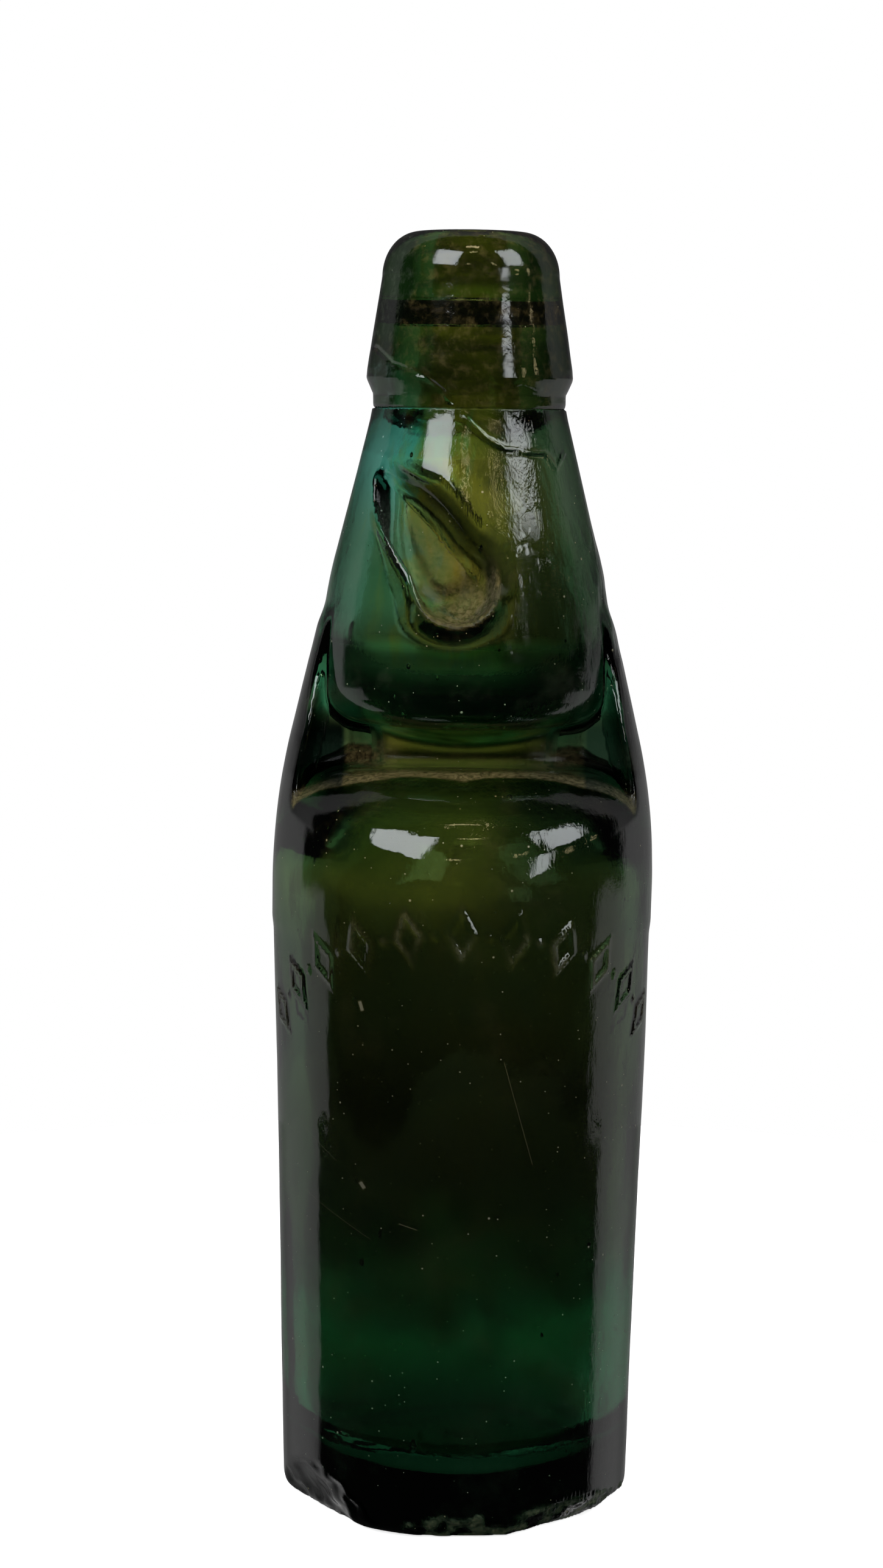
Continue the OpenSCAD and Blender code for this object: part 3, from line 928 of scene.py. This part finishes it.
def lip_material():
    t = Tree("Olive_Lip_Glass")
    where = t.place()
    z = t.axis(where, "Z")
    x = t.axis(where, "X")
    bands = t.noise(where, 0.10, 4, (0.5, 0.5, 2.2), 0.6, 1.0)
    colour = t.mix(t.ramp(bands, 0.42, 0.62), OLIVE, MOSS)
    above_ring = t.math("MULTIPLY", t.ramp(z, 212.0, 212.8), t.ramp(z, 215.4, 214.4))
    colour = t.mix(t.math("MULTIPLY", above_ring, 0.8), colour, rgb(1.0, 0.80, 0.30))
    left = t.math("ADD", t.noise(where, 0.07, 2), t.ramp(x, -16, -4, 0.16, -0.16))
    colour = t.mix(t.ramp(left, 0.50, 0.62), colour, SEA)
    low_left = t.math("MULTIPLY", t.ramp(x, -11, -15), t.ramp(z, 205, 201))
    colour = t.mix(low_left, colour, TEAL)
    dark = t.math("ADD", t.ramp(x, 5, 13, 0.0, 0.4), t.math("MULTIPLY", t.ramp(z, 207, 202, 0.0, 0.32), t.ramp(x, -12, -8)))
    colour = t.mix(dark, colour, MURK)
    settled = t.ramp(t.noise(where, 0.5, 5, rough=0.7), 0.45, 0.75, 0.0, 0.05)
    dust = t.math("MAXIMUM", settled, t.math("MULTIPLY", specks(t, where, 0.7, 0.10, 2.0), 0.6))
    colour = t.mix(dust, colour, DUST)
    rough = t.math("ADD", t.ramp(t.noise(where, 0.2, 4), 0.40, 0.75, 0.04, 0.10), t.math("MULTIPLY", dust, 0.6))
    clear = t.math("SUBTRACT", 1.0, t.math("MULTIPLY", dust, 0.8))
    fine = t.add("Bump", Height=t.noise(where, 0.7, 4, (1, 1, 0.7)))
    fine.inputs["Strength"].default_value = 0.12
    fine.inputs["Distance"].default_value = 0.00035
    glass = t.add("BsdfPrincipled", Base_Color=colour, Roughness=rough, Transmission_Weight=clear, Normal=fine.outputs[0])
    glass.inputs["IOR"].default_value = 1.52
    t.links.new(glass.outputs[0], t.out.inputs["Surface"])
    soak = t.add("VolumeAbsorption")
    soak.inputs["Color"].default_value = rgb(0.20, 0.42, 0.24)
    soak.inputs["Density"].default_value = 235
    t.links.new(soak.outputs[0], t.out.inputs["Volume"])
    return t.material


def marble_material():
    t = Tree("Aqua_Marble_Glass")
    where = t.place()
    swirl = t.noise(where, 0.22, 4, (1, 1, 0.5), 0.6, 3.0)
    colour = t.mix(t.ramp(swirl, 0.44, 0.60), rgb(0.55, 0.82, 0.72), rgb(0.22, 0.55, 0.42))
    rough = t.ramp(t.noise(where, 0.6, 4), 0.45, 0.75, 0.03, 0.22)
    glass = t.add("BsdfPrincipled", Base_Color=colour, Roughness=rough, Transmission_Weight=1.0)
    glass.inputs["IOR"].default_value = 1.52
    t.links.new(glass.outputs[0], t.out.inputs["Surface"])
    soak = t.add("VolumeAbsorption")
    soak.inputs["Color"].default_value = rgb(0.45, 0.8, 0.6)
    soak.inputs["Density"].default_value = 40
    t.links.new(soak.outputs[0], t.out.inputs["Volume"])
    return t.material


def rubber_material():
    t = Tree("Old_Ring_Rubber")
    where = t.place()
    age = t.noise(where, 0.5, 5, rough=0.65)
    colour = t.mix(t.ramp(age, 0.40, 0.65), rgb(0.012, 0.010, 0.008), rgb(0.034, 0.026, 0.020))
    cracks = t.noise(where, 2.2, 4, (1, 1, 3), 0.7)
    fine = t.add("Bump", Height=cracks)
    fine.inputs["Strength"].default_value = 0.4
    fine.inputs["Distance"].default_value = 0.0003
    skin = t.add("BsdfPrincipled", Base_Color=colour, Roughness=t.ramp(age, 0.3, 0.7, 0.55, 0.85), Normal=fine.outputs[0])
    t.links.new(skin.outputs[0], t.out.inputs["Surface"])
    return t.material


def dress(ob, material):
    ob.data.materials.clear()
    ob.data.materials.append(material)


dress(make_bottle(), bottle_material())
dress(make_lip(), lip_material())
dress(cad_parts["marble"], marble_material())
dress(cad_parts["sealing_ring"], rubber_material())
for node in ("marble", "sealing_ring"):
    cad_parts[node].data.shade_smooth()


# Floor and world

def make_floor():
    """A small pale disc. The camera sees it as bright as the backdrop, with the shadow."""
    rings, turns = 12, 64
    radius = 0.30
    points = [(0, 0, 0)]
    for k in range(1, rings + 1):
        for j in range(turns):
            a = 2 * math.pi * j / turns
            points.append((radius * k / rings * math.cos(a), radius * k / rings * math.sin(a), 0))
    faces = [(0, 1 + j, 1 + (j + 1) % turns) for j in range(turns)]
    for k in range(rings - 1):
        for j in range(turns):
            a, b = 1 + k * turns, 1 + (k + 1) * turns
            faces.append((a + j, b + j, b + (j + 1) % turns, a + (j + 1) % turns))
    mesh = bpy.data.meshes.new("floor")
    mesh.from_pydata([(x, y, -0.0002) for x, y, _ in points], [], faces)
    ob = bpy.data.objects.new("floor", mesh)
    bpy.context.scene.collection.objects.link(ob)
    t = Tree("Pale_Floor")
    grain = t.noise(t.place(), 0.05, 3)
    matt = t.add("BsdfDiffuse", Color=t.mix(grain, rgb(0.80, 0.80, 0.80), rgb(0.86, 0.86, 0.86)))
    light = t.add("Emission", Color=rgb(1, 1, 1), Strength=0.78)
    path = t.add("LightPath")
    seen = t.math("MAXIMUM", path.outputs["Is Camera Ray"], path.outputs["Is Transmission Ray"])
    both = t.add("AddShader")
    t.links.new(matt.outputs[0], both.inputs[0])
    t.links.new(light.outputs[0], both.inputs[1])
    blend = t.add("MixShader", Fac=seen)
    t.links.new(matt.outputs[0], blend.inputs[1])
    t.links.new(both.outputs[0], blend.inputs[2])

    # In the gloss the floor is dim in front of the bottle, as the room is, and straight behind
    where = t.place()
    out = t.math("ABSOLUTE", t.axis(where, "X"))
    depth = t.axis(where, "Y")
    edge = t.line(depth, out, 1.0, -0.17, 24.0)
    turn = t.math("DIVIDE", t.math("ADD", depth, 15.0), t.math("MAXIMUM", t.math("SUBTRACT", out, 26.0), 1.0))
    level = t.math("MULTIPLY", t.ramp(edge, -1, 4), t.ramp(turn, 0.2, 1.8, 0.50, 0.16))
    mirrored = t.add("Emission", Color=rgb(1, 1, 1), Strength=t.math("MAXIMUM", level, 0.012))
    straight = t.math("SUBTRACT", 1.0, path.outputs["Is Transmission Ray"])
    last = t.add("MixShader", Fac=t.math("MULTIPLY", path.outputs["Is Glossy Ray"], straight))
    t.links.new(blend.outputs[0], last.inputs[1])
    t.links.new(mirrored.outputs[0], last.inputs[2])
    t.links.new(last.outputs[0], t.out.inputs["Surface"])
    dress(ob, t.material)


def make_world():
    """White all round for the camera. For glass and gloss it is white behind and to the sides,
    as the backdrop is, and dim in front, where the room is."""
    world = bpy.data.worlds.new("Studio")
    bpy.context.scene.world = world
    world.use_nodes = True
    nodes, links = world.node_tree.nodes, world.node_tree.links
    nodes.clear()
    out = nodes.new("ShaderNodeOutputWorld")
    coords = nodes.new("ShaderNodeTexCoord")
    split = nodes.new("ShaderNodeSeparateXYZ")
    links.new(coords.outputs["Generated"], split.inputs[0])

    def ramp(value, low, high, a, b):
        node = nodes.new("ShaderNodeMapRange")
        node.interpolation_type = "SMOOTHSTEP"
        links.new(value, node.inputs["Value"])
        for key, number in zip(("From Min", "From Max", "To Min", "To Max"), (low, high, a, b)):
            node.inputs[key].default_value = number
        return node.outputs[0]

    def blend(factor, a, b):
        node = nodes.new("ShaderNodeMix")
        links.new(factor, node.inputs[0])
        for key, value in ((2, a), (3, b)):
            if isinstance(value, float):
                node.inputs[key].default_value = value
            else:
                links.new(value, node.inputs[key])
        return node.outputs[0]

    behind = ramp(split.outputs["Y"], -0.02, 0.04, 0.0, 1.0)
    low_edge = ramp(split.outputs["Y"], -0.02, 0.03, 0.0, 1.0)
    middle_edge = ramp(split.outputs["Y"], 0.34, 0.42, 0.0, 1.0)
    high_edge = ramp(split.outputs["Y"], 0.20, 0.27, 0.0, 1.0)
    upper = blend(ramp(split.outputs["Z"], -0.04, 0.06, 0.0, 1.0), middle_edge, high_edge)
    mirrored = blend(ramp(split.outputs["Z"], -0.15, -0.10, 0.0, 1.0), low_edge, upper)
    around = ramp(split.outputs["Y"], 0.30, 0.95, 0.50, 0.20)
    above = ramp(split.outputs["Y"], 0.20, 0.90, 0.30, 0.05)
    height = ramp(split.outputs["Z"], -0.05, 0.10, 0.0, 1.0)
    gloss = blend(mirrored, 0.012, blend(height, around, above))
    through = blend(behind, 0.03, 1.0)
    path = nodes.new("ShaderNodeLightPath")
    level = blend(path.outputs["Is Diffuse Ray"], 0.7, 0.30)
    level = blend(path.outputs["Is Glossy Ray"], level, gloss)
    level = blend(path.outputs["Is Transmission Ray"], level, through)
    level = blend(path.outputs["Is Camera Ray"], level, 1.0)
    back = nodes.new("ShaderNodeBackground")
    back.inputs["Color"].default_value = (1, 1, 1, 1)
    links.new(level, back.inputs["Strength"])
    links.new(back.outputs[0], out.inputs["Surface"])


# Azimuth, elevation, width and height of the warm lamps
WARM_LAMPS = [(-4, 27, 0.10, 0.06), (2, 66, 0.40, 0.10), (5, 52, 0.20, 0.07), (30, 27, 0.10, 0.09), (62, 13, 0.04, 0.18), (80, 13, 0.04, 0.22)]


def lamp(name, azimuth, elevation, distance, size, power, colour):
    """A rectangular lamp aimed at the bottle. Azimuth 0 is in front of it, and 90 to its right."""
    data = bpy.data.lights.new(name, "AREA")
    data.shape = "RECTANGLE"
    data.size, data.size_y = size
    data.energy = power
    data.color = colour
    ob = bpy.data.objects.new(name, data)
    bpy.context.scene.collection.objects.link(ob)
    a, e = math.radians(azimuth), math.radians(elevation)
    way = Vector((math.sin(a) * math.cos(e), -math.cos(a) * math.cos(e), math.sin(e)))
    aim = Vector((0, 0, 0.14))
    ob.location = aim + way * distance
    ob.rotation_mode = "QUATERNION"
    ob.rotation_quaternion = way.to_track_quat("Z", "Y")


def make_lamps():
    """Two softboxes, a narrow one between them, and the room's small warm lamps."""
    cool, warm = (0.93, 0.97, 1.0), (1.0, 0.80, 0.45)
    lamp("softbox_left", -36, 39, 1.6, (0.82, 0.84), 16.5, cool)
    lamp("softbox_right", 60, 38, 1.6, (0.70, 0.84), 11.5, cool)
    lamp("softbox_narrow", 44, 11, 1.6, (0.28, 0.50), 2.7, cool)
    for k, (azimuth, elevation, width, height) in enumerate(WARM_LAMPS):
        lamp(f"lamp_warm_{k}", azimuth, elevation, 1.9, (width, height), 24 * width * height, warm)


def make_camera():
    """At the photograph's height and distance, with its slight turn and roll."""
    data = bpy.data.cameras.new("camera")
    data.sensor_width = 36.0
    data.lens = 36.0 * 5214 / 2576
    data.clip_start, data.clip_end = 0.01, 20
    ob = bpy.data.objects.new("camera", data)
    bpy.context.scene.collection.objects.link(ob)
    bpy.context.scene.camera = ob
    pitch, turn, roll = math.radians(-6.7), math.radians(0.41), math.radians(0.735)
    ob.matrix_world = (
        Matrix.Translation((0, -0.560, 0.194))
        @ Matrix.Rotation(turn, 4, "Z")
        @ Matrix.Rotation(math.pi / 2 + pitch, 4, "X")
        @ Matrix.Rotation(roll, 4, "Z")
    )


make_floor()
make_world()
make_lamps()
make_camera()
bpy.context.scene.view_settings.view_transform = "Standard"
